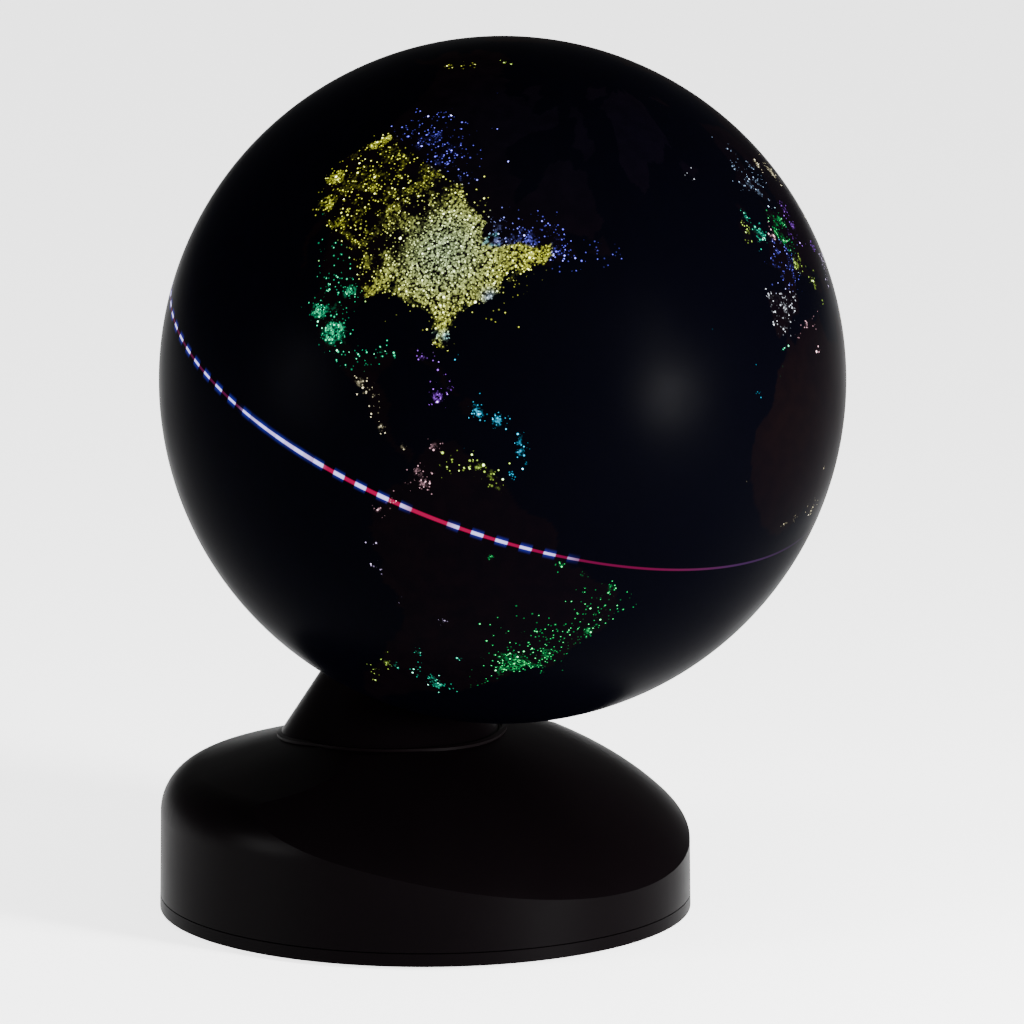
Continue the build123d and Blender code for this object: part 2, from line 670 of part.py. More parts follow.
def motor_lead():
    """Leaves the back of the motor can square to it and drops onto the board."""
    back = MOTOR_Y + MOTOR_R + LEAD_GAP
    start = spin_frame.from_local_coords(Vector(0, back, MOTOR_BOTTOM + MOTOR_LEAD_RISE))
    clear = spin_frame.from_local_coords(Vector(0, back + MOTOR_LEAD_RUN, MOTOR_BOTTOM + MOTOR_LEAD_RISE))
    end = Vector(MOTOR_LEAD_X, MOTOR_LEAD_Y, board_top)
    return lead([start, clear, end + Vector(0, 0, LEAD_DROP), end])


# ---------------------------------------------------------- boards and inlets

def push_button(side):
    cap = disc(BUTTON_R, BUTTON_FLANGE_BOTTOM, BUTTON_PROUD)
    cap = fillet(cap.edges().sort_by(Axis.Z)[-1], BUTTON_EDGE_R)
    cap += disc(BUTTON_FLANGE_R, BUTTON_FLANGE_BOTTOM, BUTTON_FLANGE_TOP)
    cap += disc(PLUNGER_R, PLUNGER_END, BUTTON_FLANGE_BOTTOM)
    return button_frame(side) * cap


def tact_switches():
    shapes = []
    for side in (-1, 1):
        body = block(board_top - JACK_Z, SWITCH_HALF, -SWITCH_HALF, SWITCH_HALF, SWITCH_BACK, SWITCH_TOP)
        shapes.append(button_frame(side) * (body + disc(PLUNGER_R, SWITCH_TOP, SWITCH_TOP + SWITCH_NUB)))
    return group(shapes)


def main_board():
    board = block(-BOARD_HALF, BOARD_HALF, BOARD_FRONT, BOARD_BACK, BOARD_Z, board_top)
    board -= holes(BOARD_SCREWS, SMALL_SCREW_R + CLEARANCE, 0, FAR)
    board += block(CHIP_X, CHIP_X + CHIP_SIDE, CHIP_Y, CHIP_Y + CHIP_SIDE, board_top, board_top + CHIP_H)
    for x, y in CAPACITORS:
        board += disc(CAPACITOR_R, board_top, board_top + CAPACITOR_H, x, y)
    return board


def board_screws():
    return group([small_screw(place, board_top, BOARD_SCREW_TIP) for place in BOARD_SCREWS])


def dc_jack():
    body = block(-JACK_HALF, JACK_HALF, JACK_FRONT, JACK_STEP, board_top, JACK_Z + JACK_HALF)
    outward = Pos(0, JACK_FACE, JACK_Z) * Rot(-90, 0, 0)
    body += outward * disc(JACK_BARREL_R, JACK_STEP - JACK_FACE - OVER, 0)
    body -= outward * disc(JACK_BORE_R, -JACK_DEPTH, OVER)
    return body + outward * disc(JACK_PIN_R, -JACK_DEPTH - OVER, -OVER)


os.makedirs("parts", exist_ok=True)
nodes = {
    "upper_base_shell": upper_base_shell(),
    "bottom_tray": bottom_tray(),
    "rubber_feet": rubber_feet(),
    "base_screws": base_screws(),
    "ballast_plate": ballast_plate(),
    "ballast_screws": ballast_screws(),
    "neck_collar": neck_collar(),
    "neck_clamp_ring": neck_clamp_ring(),
    "neck_clamp_screws": neck_clamp_screws(),
    "neck_trim_ring": neck_trim_ring(),
    "light_seal": light_seal(),
    "bearing_housing": bearing_housing(),
    "housing_screws": housing_screws(),
    "upper_bush": bush(HOUSING_TOP - BUSH_LENGTH),
    "lower_bush": bush(HOUSING_BOTTOM),
    "thrust_washer": thrust_washer(),
    "motor_bracket": motor_bracket(),
    "bracket_screws": bracket_screws(),
    "gear_motor": gear_motor(),
    "motor_screws": motor_screws(),
    "lamp_stem": lamp_stem(),
    "stem_nut": stem_nut(),
    "lamp_heat_sink": lamp_heat_sink(),
    "led_board": led_board(),
    "lamp_diffuser": lamp_diffuser(),
    "lamp_lead": lamp_lead(),
    "motor_lead": motor_lead(),
    "main_board": main_board(),
    "board_screws": board_screws(),
    "dc_jack": dc_jack(),
    "tact_switches": tact_switches(),
    "globe_north_shell": globe_north_shell(),
    "globe_south_shell": globe_south_shell(),
    "globe_hub": globe_hub(),
    "hub_screws": hub_screws(),
    "ring_gear": ring_gear(),
    "retaining_ring": retaining_ring(),
    "drive_pinion": drive_pinion(),
    "motor_shaft": motor_shaft(),
    "power_button": push_button(-1),
    "light_button": push_button(1),
}
for name, shape in nodes.items():
    export_step(shape, f"parts/{name}.step")
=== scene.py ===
import json
from math import cos, degrees, pi, radians, sin

import bpy
import numpy as np
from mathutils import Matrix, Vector


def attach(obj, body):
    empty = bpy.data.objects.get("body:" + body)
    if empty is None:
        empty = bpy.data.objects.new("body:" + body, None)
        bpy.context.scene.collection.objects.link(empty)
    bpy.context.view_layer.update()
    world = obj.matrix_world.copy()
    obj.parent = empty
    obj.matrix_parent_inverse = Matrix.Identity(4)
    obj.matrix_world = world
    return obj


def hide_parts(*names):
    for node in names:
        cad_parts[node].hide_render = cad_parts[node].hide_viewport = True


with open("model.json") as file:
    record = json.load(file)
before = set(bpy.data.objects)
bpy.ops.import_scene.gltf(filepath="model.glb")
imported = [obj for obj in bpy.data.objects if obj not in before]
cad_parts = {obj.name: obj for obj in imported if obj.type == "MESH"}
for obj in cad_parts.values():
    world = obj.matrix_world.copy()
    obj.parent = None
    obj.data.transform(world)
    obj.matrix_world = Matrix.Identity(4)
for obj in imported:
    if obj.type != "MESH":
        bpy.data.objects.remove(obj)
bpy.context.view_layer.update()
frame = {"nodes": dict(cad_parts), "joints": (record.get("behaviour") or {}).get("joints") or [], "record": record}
nodes = frame["nodes"]

# ------------------------------------------------------------- driving sizes
# Metres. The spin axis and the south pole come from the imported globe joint.

SHELL_R = 0.127                   # the CAD ball, which the skin stays just inside
GLOBE_R = 0.12698
HOLE_R = 0.0165
SKIN_T = 0.0024
LONGITUDES = 720
OUTER_ROWS = 380
INNER_ROWS = 30

# Where the map sits on the ball: the printed latitudes are stretched a little.
MAP_TURN = 4.889
MAP_SHIFT = -0.0345
MAP_STRETCH = 1.057

# City dots: (spacing, share that are lit, size within a cell, brightness).
DOT_LAYERS = ((0.0026, 0.36, 0.24, 12.0), (0.0014, 0.62, 0.34, 8.0), (0.00078, 0.75, 0.44, 4.5))
HAZE_GRAIN = 0.0011               # size of the fine speckle in the most crowded regions
HAZE = 1.1                        # its brightness

CLUMP_SCALE = 150.0               # patches where thinly settled land has more or fewer dots
FAINTEST_DOT = 0.4
BALL_BLACK = (0.0002, 0.0002, 0.0005, 1)
LAND_SHARE = 0.08                 # how much of the land's colour the unlit surface has
BALL_GLOSS = 0.0012

# The equator line: half width, reach of its blue glow, and the dashes in degrees of longitude.
EQUATOR_HALF = 0.0008
EQUATOR_GLOW = 0.0024
DASH_DEGREES = 360 / 88            # a whole number of dashes, so they meet behind
DASH_START = -149.2
DASH_GAP = -71.6                  # one dash is missing here
GAP_REACH = (1.5, 6.0)
THINNEST = 0.6
SOLID_SHARE = 0.75                # paleness of the stretch without dashes
HALO_SHARE = 0.35

# Longitudes over which the line changes.
BRIGHTENS = (-112.0, -92.0)
NARROWS = (-75.0, -42.0)
SOLID_STARTS = (-111.0, -105.0)
SOLID_ENDS = (-95.0, -90.0)
DASHES_END = (-53.0, -44.0)
DEEPENS = (-66.0, -42.0)
GREYS = (-36.0, -12.0)
FADES = (-20.0, 14.0)
RETURNS = (60.0, 140.0)
FADED = 0.06

NOTHING = (0, 0, 0, 1)
DIM_RED = (0.12, 0.003, 0.05, 1)
CRIMSON = (0.56, 0.001, 0.08, 1)
DEEP_RED = (0.22, 0.002, 0.06, 1)
GREY_RED = (0.07, 0.02, 0.10, 1)
DASH_PALE = (1.25, 1.15, 1.9, 1)
GLOW_BLUE = (0.08, 0.07, 1.2, 1)

spin = next(j for j in frame["joints"] if j["name"] == "globe_spin")
axis = Vector(spin["axis"]).normalized()
south_pole = Vector(spin["pos_m"])
centre = south_pole + axis * SHELL_R
right = Vector((1, 0, 0))
back = axis.cross(right)


# ------------------------------------------------------------------ the map
# Coastlines, (latitude, longitude) in degrees.

LAND = {
    "north_america": [
        (71, -157), (70, -142), (69, -130), (68, -115), (69, -105), (68, -95), (72, -93), (69, -85),
        (66, -86), (63, -92), (59, -94), (57, -90), (55, -82), (51, -80), (55, -78), (60, -78),
        (62, -74), (60, -65), (56, -61), (52, -56), (50, -60), (49, -66), (46, -61), (44, -66),
        (43, -70), (41, -70), (40, -74), (37, -76), (35, -76), (32, -80), (30, -81), (27, -80),
        (25, -81), (28, -83), (30, -84), (30, -89), (29, -91), (30, -94), (27, -97), (22, -98),
        (19, -96), (18, -93), (21, -90), (21, -87), (18, -88), (16, -88), (15, -84), (11, -84),
        (9, -81), (9, -78), (7, -78), (8, -81), (10, -86), (13, -88), (15, -94), (17, -100),
        (20, -105), (23, -107), (27, -110), (31, -113), (31, -115), (27, -113), (23, -110),
        (28, -115), (33, -117), (35, -121), (40, -124), (48, -124), (51, -128), (55, -131),
        (59, -138), (60, -146), (59, -152), (57, -157), (55, -162), (59, -158), (61, -166),
        (64, -162), (66, -168), (68, -164),
    ],
    "south_america": [
        (12, -72), (11, -75), (8, -77), (4, -77), (1, -79), (-3, -80), (-6, -81), (-10, -78),
        (-15, -75), (-18, -71), (-25, -70), (-33, -72), (-40, -74), (-46, -75), (-52, -75),
        (-55, -69), (-53, -68), (-50, -69), (-46, -67), (-42, -64), (-39, -62), (-37, -57),
        (-34, -58), (-35, -54), (-32, -52), (-28, -49), (-24, -46), (-23, -42), (-20, -40),
        (-15, -39), (-10, -36), (-6, -35), (-3, -40), (-1, -47), (1, -50), (5, -52), (7, -58),
        (10, -62), (11, -66),
    ],
    "greenland": [
        (60, -44), (61, -48), (65, -53), (70, -54), (75, -59), (76, -69), (79, -68), (82, -60),
        (83, -40), (83, -25), (81, -15), (76, -20), (70, -23), (68, -30), (65, -40),
    ],
    "africa": [
        (36, -6), (33, -8), (29, -11), (24, -16), (20, -17), (15, -17), (11, -15), (8, -13), (4, -8),
        (5, -2), (6, 3), (4, 7), (3, 10), (-1, 9), (-6, 12), (-12, 14), (-17, 12), (-23, 14),
        (-29, 17), (-34, 18), (-35, 20), (-34, 26), (-30, 31), (-25, 33), (-20, 35), (-15, 41),
        (-10, 40), (-4, 39), (1, 43), (5, 48), (11, 51), (12, 44), (15, 40), (22, 37), (28, 34),
        (31, 32), (31, 25), (33, 21), (30, 19), (33, 12), (37, 11), (37, 9), (37, 3), (35, -2),
    ],
    "eurasia": [
        (43, -9), (37, -9), (36, -5), (38, 0), (42, 3), (43, 6), (44, 9), (41, 13), (38, 16),
        (40, 18), (41, 16), (44, 12), (45, 14), (42, 19), (39, 20), (37, 22), (38, 24), (40, 23),
        (41, 28), (37, 27), (36, 32), (37, 36), (31, 34), (28, 34), (22, 39), (13, 43), (13, 45),
        (17, 54), (22, 59), (26, 56), (24, 52), (30, 48), (27, 56), (25, 62), (24, 67), (20, 73),
        (15, 74), (8, 77), (13, 80), (17, 83), (22, 89), (21, 92), (16, 94), (16, 97), (8, 98),
        (1, 103), (6, 103), (13, 100), (10, 105), (12, 109), (18, 106), (21, 108), (22, 114),
        (25, 119), (30, 122), (35, 119), (38, 118), (40, 122), (38, 125), (34, 126), (36, 129),
        (40, 128), (43, 132), (50, 140), (54, 138), (59, 143), (60, 155), (51, 157), (57, 162),
        (61, 170), (64, 178), (67, 178), (70, 170), (72, 140), (73, 125), (77, 105), (74, 88),
        (72, 75), (69, 68), (68, 55), (66, 45), (64, 38), (67, 40), (69, 35), (71, 26), (69, 16),
        (65, 12), (62, 5), (58, 6), (59, 10), (56, 13), (56, 16), (60, 18), (63, 20), (66, 23),
        (65, 25), (61, 21), (60, 25), (59, 28), (57, 24), (54, 19), (54, 10), (57, 10), (55, 8),
        (53, 6), (51, 2), (49, -1), (48, -5), (46, -1), (43, -2),
    ],
    "great_britain": [
        (50, -5), (51, 1), (53, 0), (55, -2), (58, -2), (58, -5), (55, -5), (53, -4), (52, -5),
    ],
    "ireland": [(52, -10), (52, -6), (55, -6), (54, -10)],
    "iceland": [(64, -22), (63.5, -19), (65, -14), (66, -16), (66, -23)],
    "cuba": [(22, -84.5), (23, -82), (22, -78), (20, -74.5), (20, -77.5), (21.5, -79)],
    "hispaniola": [(20, -73), (19.7, -70), (18.5, -68.5), (18, -71.5), (18.4, -74)],
    "baffin": [(63, -66), (67, -63), (73, -80), (73, -88), (70, -78), (65, -74)],
    "victoria": [(69, -102), (72, -105), (73, -118), (70, -117)],
    "ellesmere": [(77, -82), (81, -65), (83, -75), (80, -95)],
    "svalbard": [(77, 15), (80, 12), (80, 25), (77, 20)],
    "newfoundland": [(47, -53), (48, -59), (51, -56), (49, -54)],
    "madagascar": [(-12, 49), (-16, 50), (-25, 47), (-24, 44), (-16, 44)],
    "australia": [
        (-12, 131), (-15, 129), (-18, 122), (-22, 114), (-32, 115), (-35, 118), (-32, 130),
        (-35, 137), (-38, 141), (-39, 146), (-37, 150), (-33, 152), (-25, 153), (-19, 147),
        (-11, 142.5), (-17, 140), (-12, 136),
    ],
    "japan": [
        (31, 131), (34, 131), (36, 136), (41, 140), (45, 142), (43, 145), (40, 142), (35, 140),
        (34, 136),
    ],
    "borneo": [(1, 109), (7, 117), (1, 118), (-4, 115), (-3, 110)],
    "sumatra": [(5, 95), (-6, 105), (-3, 106), (2, 100)],
    "java": [(-6, 105.5), (-7, 114), (-8.5, 114), (-7.5, 106)],
    "new_guinea": [
        (-1, 131), (-3, 141), (-6, 147), (-10, 150), (-9, 142), (-8, 138), (-4, 133),
    ],
    "philippines": [(18, 121), (14, 124), (7, 126), (7, 122), (14, 120)],
    "new_zealand": [(-35, 173), (-38, 178), (-41, 175), (-46, 167), (-46, 170), (-41, 173)],
    "antarctica": [
        (-90, -180), (-78, -180), (-78, -165), (-74, -140), (-73, -100), (-73, -75), (-63, -58),
        (-72, -60), (-77, -40), (-70, -10), (-70, 20), (-66, 50), (-69, 75), (-66, 100),
        (-66, 130), (-70, 165), (-78, 180), (-90, 180),
    ],
}

YELLOW = (0.80, 0.86, 0.07)
VIOLET_BLUE = (0.14, 0.13, 1.0)
TEAL = (0.0, 0.80, 0.34)
WARM_WHITE = (1.0, 0.9, 0.55)
VIOLET = (0.42, 0.10, 1.0)
CYAN = (0.02, 0.62, 1.0)
LIME = (0.65, 1.0, 0.12)
PINK = (1.0, 0.55, 0.65)
LILAC = (0.75, 0.6, 1.0)
EMERALD = (0.0, 0.85, 0.18)
SEA_GREEN = (0.0, 0.85, 0.50)
WHITE = (0.85, 0.9, 1.0)
PALE_BLUE = (0.45, 0.65, 1.0)

# Lit regions: (latitude, longitude, radius in degrees, how full of dots).
LIGHTS = [
    (YELLOW, [
        (40.7, -74, 2.2, 1), (42, -71.5, 1.6, 0.9), (39, -77, 1.8, 0.95), (41, -81, 2, 0.8),
        (42.2, -83.5, 1.5, 0.9), (41.8, -87.8, 1.8, 1), (39.8, -86, 2.5, 0.7), (36, -79.5, 2.8, 0.75),
        (33.8, -84.3, 2.2, 0.85), (28, -81.8, 1.4, 0.9), (26, -80.3, 0.8, 1), (30.3, -82, 1.5, 0.5),
        (35.5, -86.5, 3, 0.55), (32.8, -97, 1.6, 0.9), (29.8, -95.4, 1.4, 0.9), (30, -90.5, 1.5, 0.7),
        (38.6, -90.3, 2, 0.7), (39, -94.6, 2, 0.6), (44.9, -93.2, 1.6, 0.7), (39.7, -104.9, 1.2, 0.8),
        (40.8, -111.9, 1, 0.7), (33.4, -112, 1.2, 0.8), (34, -118, 1.4, 1.3), (37.7, -122, 1.4, 1.3),
        (36.8, -119.7, 1.5, 0.6), (45.5, -122.6, 1, 1.2), (47.5, -122.2, 1, 1.3), (36.1, -115.2, 0.7, 0.9),
        (35, -98, 4, 0.35), (41, -97, 5, 0.3), (44, -88, 2.5, 0.45), (33, -90, 3, 0.35),
        (45, -69.5, 1.5, 0.3), (47, -100, 4, 0.12), (43, -108, 5, 0.1), (61.2, -149.9, 0.8, 0.6),
        (64.8, -147.7, 0.7, 0.4),
    ]),
    (VIOLET_BLUE, [
        (45.5, -73.6, 1.3, 0.9), (43.7, -79.6, 1.2, 1), (46.8, -71.3, 1, 0.6), (45.3, -75.8, 0.8, 0.6),
        (49.9, -97.1, 0.8, 0.6), (51, -114, 1, 0.7), (53.5, -113.4, 1, 0.7), (52, -106.6, 1.5, 0.35),
        (49.3, -123, 0.8, 0.8), (44.7, -63.6, 0.8, 0.5), (46.2, -64.8, 1.4, 0.35), (47.6, -52.8, 0.5, 0.6),
        (48.5, -68.5, 1.8, 0.5), (50.4, -104.6, 0.8, 0.5), (48.4, -81, 1.4, 0.3), (54, -120, 2, 0.3),
        (52, -113, 3, 0.5), (52, -106, 4, 0.4), (50.5, -99, 2.5, 0.42), (50, -119, 2, 0.4),
        (55.5, -117, 2.5, 0.25), (46, -80, 2, 0.55), (44.6, -77.8, 1.5, 0.8), (46, -73.5, 2.2, 0.8),
        (46.5, -66, 2, 0.55), (45, -63.3, 1.6, 0.55), (48.5, -56, 2, 0.3), (47.2, -53.2, 1, 0.6),
        (48.8, 2.3, 0.9, 1), (45.8, 4.9, 0.8, 0.7), (43.4, 5.2, 0.7, 0.8), (43.6, 1.4, 0.6, 0.6),
        (44.8, -0.6, 0.6, 0.6), (50.5, 3, 0.6, 0.7), (47.2, -1.6, 0.6, 0.6), (48.1, -1.7, 0.6, 0.4),
        (47, 3, 3, 0.25), (48.6, 7.7, 0.5, 0.5),
    ]),
    (TEAL, [
        (19.4, -99.1, 1.6, 1.5), (20.7, -103.4, 1.3, 1.2), (25.7, -100.3, 1, 1), (21, -89.6, 0.8, 0.7),
        (21.2, -86.9, 0.4, 0.7), (19.2, -96.2, 1, 0.6), (18, -93, 1, 0.5), (22, -101, 2.5, 0.45),
        (24.8, -107.4, 0.8, 0.5), (29, -111, 0.8, 0.4), (28.6, -106, 0.9, 0.5), (32.4, -116.8, 0.5, 0.7),
        (17, -99.8, 0.6, 0.4), (33.6, -7.6, 0.5, 0.8), (34, -6.8, 0.4, 0.6), (31.6, -8, 0.4, 0.5),
        (34, -5, 0.4, 0.5), (35.7, -5.8, 0.3, 0.6), (30.4, -9.6, 0.3, 0.5),
    ]),
    (WARM_WHITE, [
        (14.6, -90.5, 0.9, 0.7), (13.7, -89.2, 0.6, 0.8), (15.5, -88, 0.5, 0.5), (12.1, -86.3, 0.6, 0.5),
        (9.9, -84.1, 0.7, 0.8), (9, -79.5, 0.5, 0.7), (14.1, -87.2, 0.4, 0.5), (14.7, -17.4, 0.3, 0.6),
        (5.3, -4, 0.5, 0.6), (5.6, -0.2, 0.5, 0.6), (6.5, 3.4, 0.7, 0.8), (5, 7, 1, 0.6),
        (9, 7.5, 0.4, 0.4), (12, 8.5, 0.5, 0.5), (55.7, 37.6, 1.2, 1), (59.9, 30.3, 0.8, 0.8),
        (56.3, 44, 0.8, 0.5), (53.2, 50, 0.8, 0.6), (56.8, 60.6, 0.8, 0.6), (55, 73.4, 0.6, 0.5),
        (55, 82.9, 0.7, 0.5), (47.2, 39.7, 0.9, 0.6), (30, 31.2, 1.0, 1), (27, 31, 0.7, 0.7),
    ]),
    (VIOLET, [
        (23, -82.3, 0.9, 0.8), (22.4, -80, 0.8, 0.5), (21.4, -77.9, 0.8, 0.5), (20.2, -75.9, 0.7, 0.6),
        (18.1, -77.2, 0.8, 1.8), (52.2, 21, 1, 0.7), (50.1, 19, 1, 0.8), (50, 14.4, 0.8, 0.7),
        (47.5, 19, 0.9, 0.7), (44.4, 26.1, 0.8, 0.7),
    ]),
    (CYAN, [
        (18.3, -66.3, 0.7, 2.4), (18.5, -69.9, 0.9, 1.4), (16.2, -61.5, 0.5, 1.8), (14.6, -61, 0.5, 1.8),
        (13.1, -59.6, 0.4, 1.8), (10.6, -61.4, 0.6, 1.5), (17.1, -61.8, 0.4, 1.4), (25, -77.4, 0.4, 1.2),
        (18.6, -72.3, 0.4, 0.3), (12.5, -70, 0.3, 0.6), (28.1, -15.5, 0.4, 0.8), (28.4, -16.4, 0.4, 0.8),
        (29, -13.6, 0.3, 0.6), (32.65, -16.9, 0.3, 0.8), (37.75, -25.6, 0.3, 0.7), (38.6, -27.2, 0.2, 0.4),
        (35.7, 139.7, 1.3, 1), (34.7, 135.5, 1, 1), (35.2, 137, 0.8, 0.9), (33.6, 130.4, 0.9, 0.8),
        (38.3, 140.9, 0.8, 0.6), (43.1, 141.4, 0.8, 0.6), (36, 138, 3, 0.35),
        (42.5, -82, 0.6, 1), (43.2, -81.9, 0.5, 1), (44, -81.6, 0.5, 0.9), (44.6, -80.6, 0.6, 0.9),
        (42.7, -80.4, 0.6, 1), (43.3, -79.2, 0.5, 1),
    ]),
    (LIME, [
        (10.4, -66.9, 1, 0.9), (10.2, -68.3, 0.9, 0.8), (10.5, -71.6, 0.8, 0.8), (8.5, -71.5, 1.2, 0.4),
        (9.9, -64, 1.3, 0.6), (8.3, -62.7, 0.6, 0.6), (9.5, -69.5, 1.2, 0.5), (-33.4, -70.7, 0.8, 0.9),
        (-36.8, -73, 0.6, 0.6), (-38.7, -72.6, 0.5, 0.4), (-41.5, -72.9, 0.4, 0.3), (-29.9, -71.2, 0.3, 0.4),
        (53.3, -6.4, 0.5, 0.7), (52, -8.4, 0.6, 0.4), (54.6, -6, 0.5, 0.6), (45.5, 9.2, 0.9, 1),
        (44.5, 11.3, 0.9, 0.8), (41.9, 12.5, 0.7, 0.9), (40.8, 14.3, 0.6, 0.9), (45.4, 12, 0.7, 0.8),
        (38, 13.5, 0.5, 0.6), (37.5, 15, 0.5, 0.6), (41.1, 16.9, 0.6, 0.5), (45.1, 7.7, 0.5, 0.8),
        (70.2, -149, 0.8, 0.7), (28.6, 77.2, 1.5, 1), (26.8, 81, 2.5, 0.7), (22.6, 88.4, 1.1, 0.9),
        (19.1, 72.9, 1, 1), (23, 72.6, 1.4, 0.8), (17.4, 78.5, 1.2, 0.8), (13, 77.6, 1.1, 0.9),
        (13.1, 80.2, 0.8, 0.9), (10.5, 77, 1.5, 0.8), (21, 79, 4, 0.4), (31, 75, 1.6, 0.8),
    ]),
    (PINK, [
        (4.7, -74.1, 0.9, 0.8), (6.2, -75.6, 0.8, 0.7), (3.4, -76.5, 0.8, 0.7), (10.9, -74.8, 0.8, 0.6),
        (7.1, -73.1, 0.6, 0.5), (-0.2, -78.5, 0.6, 0.6), (-2.2, -79.9, 0.7, 0.6), (52, 4.6, 0.8, 1),
        (51, 4.2, 0.9, 1), (49.6, 6.1, 0.3, 0.7), (36.7, 3.1, 0.7, 0.7), (35.7, -0.6, 0.5, 0.6),
        (36.4, 6.6, 0.8, 0.5), (36.8, 10.2, 0.5, 0.7), (32, 6, 0.5, 0.4), (39.9, 116.4, 1.5, 1),
        (31.2, 121.4, 1.5, 1), (23, 113.5, 1.2, 1), (36, 117, 3, 0.6), (32, 119, 3, 0.6),
        (30.6, 104, 1, 0.8), (29.6, 106.5, 0.8, 0.7), (34.5, 112, 3.5, 0.45), (30.6, 114.3, 1, 0.8),
        (41.8, 123.4, 1.2, 0.8), (45.8, 126.6, 0.9, 0.7), (25, 121.3, 0.9, 0.9),
    ]),
    (LILAC, [
        (-12.05, -77, 0.7, 0.9), (-8.1, -79, 0.5, 0.4), (-16.4, -71.5, 0.5, 0.4), (-16.5, -68.1, 0.5, 0.5),
        (-17.8, -63.2, 0.5, 0.5), (-13.5, -72, 0.5, 0.2), (41, 29, 0.8, 1), (39.9, 32.9, 0.7, 0.7),
        (38.4, 27.1, 0.6, 0.7), (38, 23.7, 0.6, 0.8), (35.7, 51.4, 0.9, 0.9), (33.3, 44.4, 0.7, 0.8),
    ]),
    (EMERALD, [
        (-23.5, -46.6, 1.6, 1), (-22.9, -43.2, 1, 1), (-19.9, -44, 1.4, 0.8), (-15.8, -47.9, 0.9, 0.8),
        (-16.7, -49.3, 0.8, 0.7), (-22, -49, 2.5, 0.6), (-25.4, -49.3, 1.1, 0.8), (-27, -49, 1, 0.6),
        (-30, -51.2, 1.1, 0.7), (-12.9, -38.5, 0.8, 0.8), (-8.1, -35, 0.8, 0.9), (-3.8, -38.5, 0.7, 0.8),
        (-5.8, -35.3, 0.6, 0.6), (-10.9, -37.1, 0.5, 0.6), (-2.5, -44.3, 0.5, 0.6), (-1.4, -48.5, 0.6, 0.7),
        (-3.1, -60, 0.5, 0.7), (-5.1, -42.8, 0.4, 0.4), (-9, -40, 3, 0.15), (-20.5, -54.6, 0.6, 0.4),
        (-18, -46, 4, 0.2), (-15.6, -56, 0.5, 0.4), (-8.8, -63.9, 0.3, 0.3), (51.4, 7, 1, 1),
        (50, 8.6, 0.9, 0.9), (48.8, 9.2, 0.9, 0.8), (48.1, 11.6, 0.8, 0.8), (52.5, 13.4, 0.8, 0.8),
        (53.6, 10, 0.8, 0.8), (51.2, 13, 1, 0.6), (52.3, 9.8, 1, 0.6), (24.7, 46.7, 0.8, 0.9),
        (25.2, 55.3, 0.7, 1), (26.3, 50.2, 0.6, 0.9), (21.5, 39.5, 0.7, 0.8),
    ]),
    (SEA_GREEN, [
        (-34.6, -58.6, 1, 1), (-31.4, -64.2, 0.9, 0.6), (-33, -60.7, 0.8, 0.7), (-32.9, -68.8, 0.6, 0.6),
        (-26.8, -65.2, 0.7, 0.5), (-38.7, -62.3, 0.4, 0.4), (-38, -57.6, 0.4, 0.5), (-34.9, -56.2, 0.5, 0.7),
        (-45.9, -67.5, 0.4, 0.3), (-25.3, -57.6, 0.5, 0.6), (51.5, -0.1, 1, 1), (52.5, -1.9, 0.9, 0.9),
        (53.5, -2.3, 0.9, 0.9), (55.9, -4, 0.8, 0.8), (54.9, -1.5, 0.6, 0.7), (51.5, -3, 0.6, 0.6),
        (50.7, -3.8, 0.7, 0.3), (-6.2, 106.8, 0.8, 1), (-7.3, 110, 1.6, 0.7), (14.6, 121, 0.8, 0.9),
        (13.8, 100.5, 0.9, 0.9), (3.1, 101.6, 0.8, 0.9), (10.8, 106.7, 0.8, 0.8), (21, 105.8, 0.8, 0.8),
    ]),
    (WHITE, [
        (64.1, -21.9, 0.5, 0.7), (65.7, -18.1, 0.3, 0.3), (40.4, -3.7, 0.8, 0.9), (41.4, 2.1, 0.6, 0.9),
        (39.5, -0.4, 0.6, 0.8), (37.4, -5.9, 0.6, 0.7), (36.7, -4.5, 0.5, 0.7), (43.3, -2.9, 0.5, 0.7),
        (43.3, -8.3, 0.6, 0.6), (38.7, -9.1, 0.6, 0.9), (41.2, -8.5, 0.6, 0.9), (38, -1, 0.6, 0.6),
        (37.5, 127, 1, 1), (35.5, 129, 0.9, 0.9), (-26.2, 28, 1.1, 0.9), (-33.9, 18.5, 0.6, 0.8),
        (-29.8, 31, 0.6, 0.7),
    ]),
    (PALE_BLUE, [
        (59.9, 10.8, 1, 0.8), (60.4, 5.3, 0.7, 0.6), (63.4, 10.4, 0.6, 0.5), (59.3, 18, 1, 0.8),
        (57.7, 12, 0.9, 0.7), (55.7, 12.8, 0.9, 0.9), (62, 17, 1.2, 0.4), (65, 22, 1.2, 0.3),
        (69.6, 19, 0.6, 0.3), (60.3, 24.9, 1, 0.8), (61.5, 23.8, 0.8, 0.5), (-33.9, 151.2, 0.9, 0.9),
        (-37.8, 145, 0.9, 0.9), (-27.5, 153, 0.8, 0.8), (-34.9, 138.6, 0.6, 0.7), (-32, 115.9, 0.7, 0.8),
        (-36.8, 174.8, 0.5, 0.7),
    ]),
]

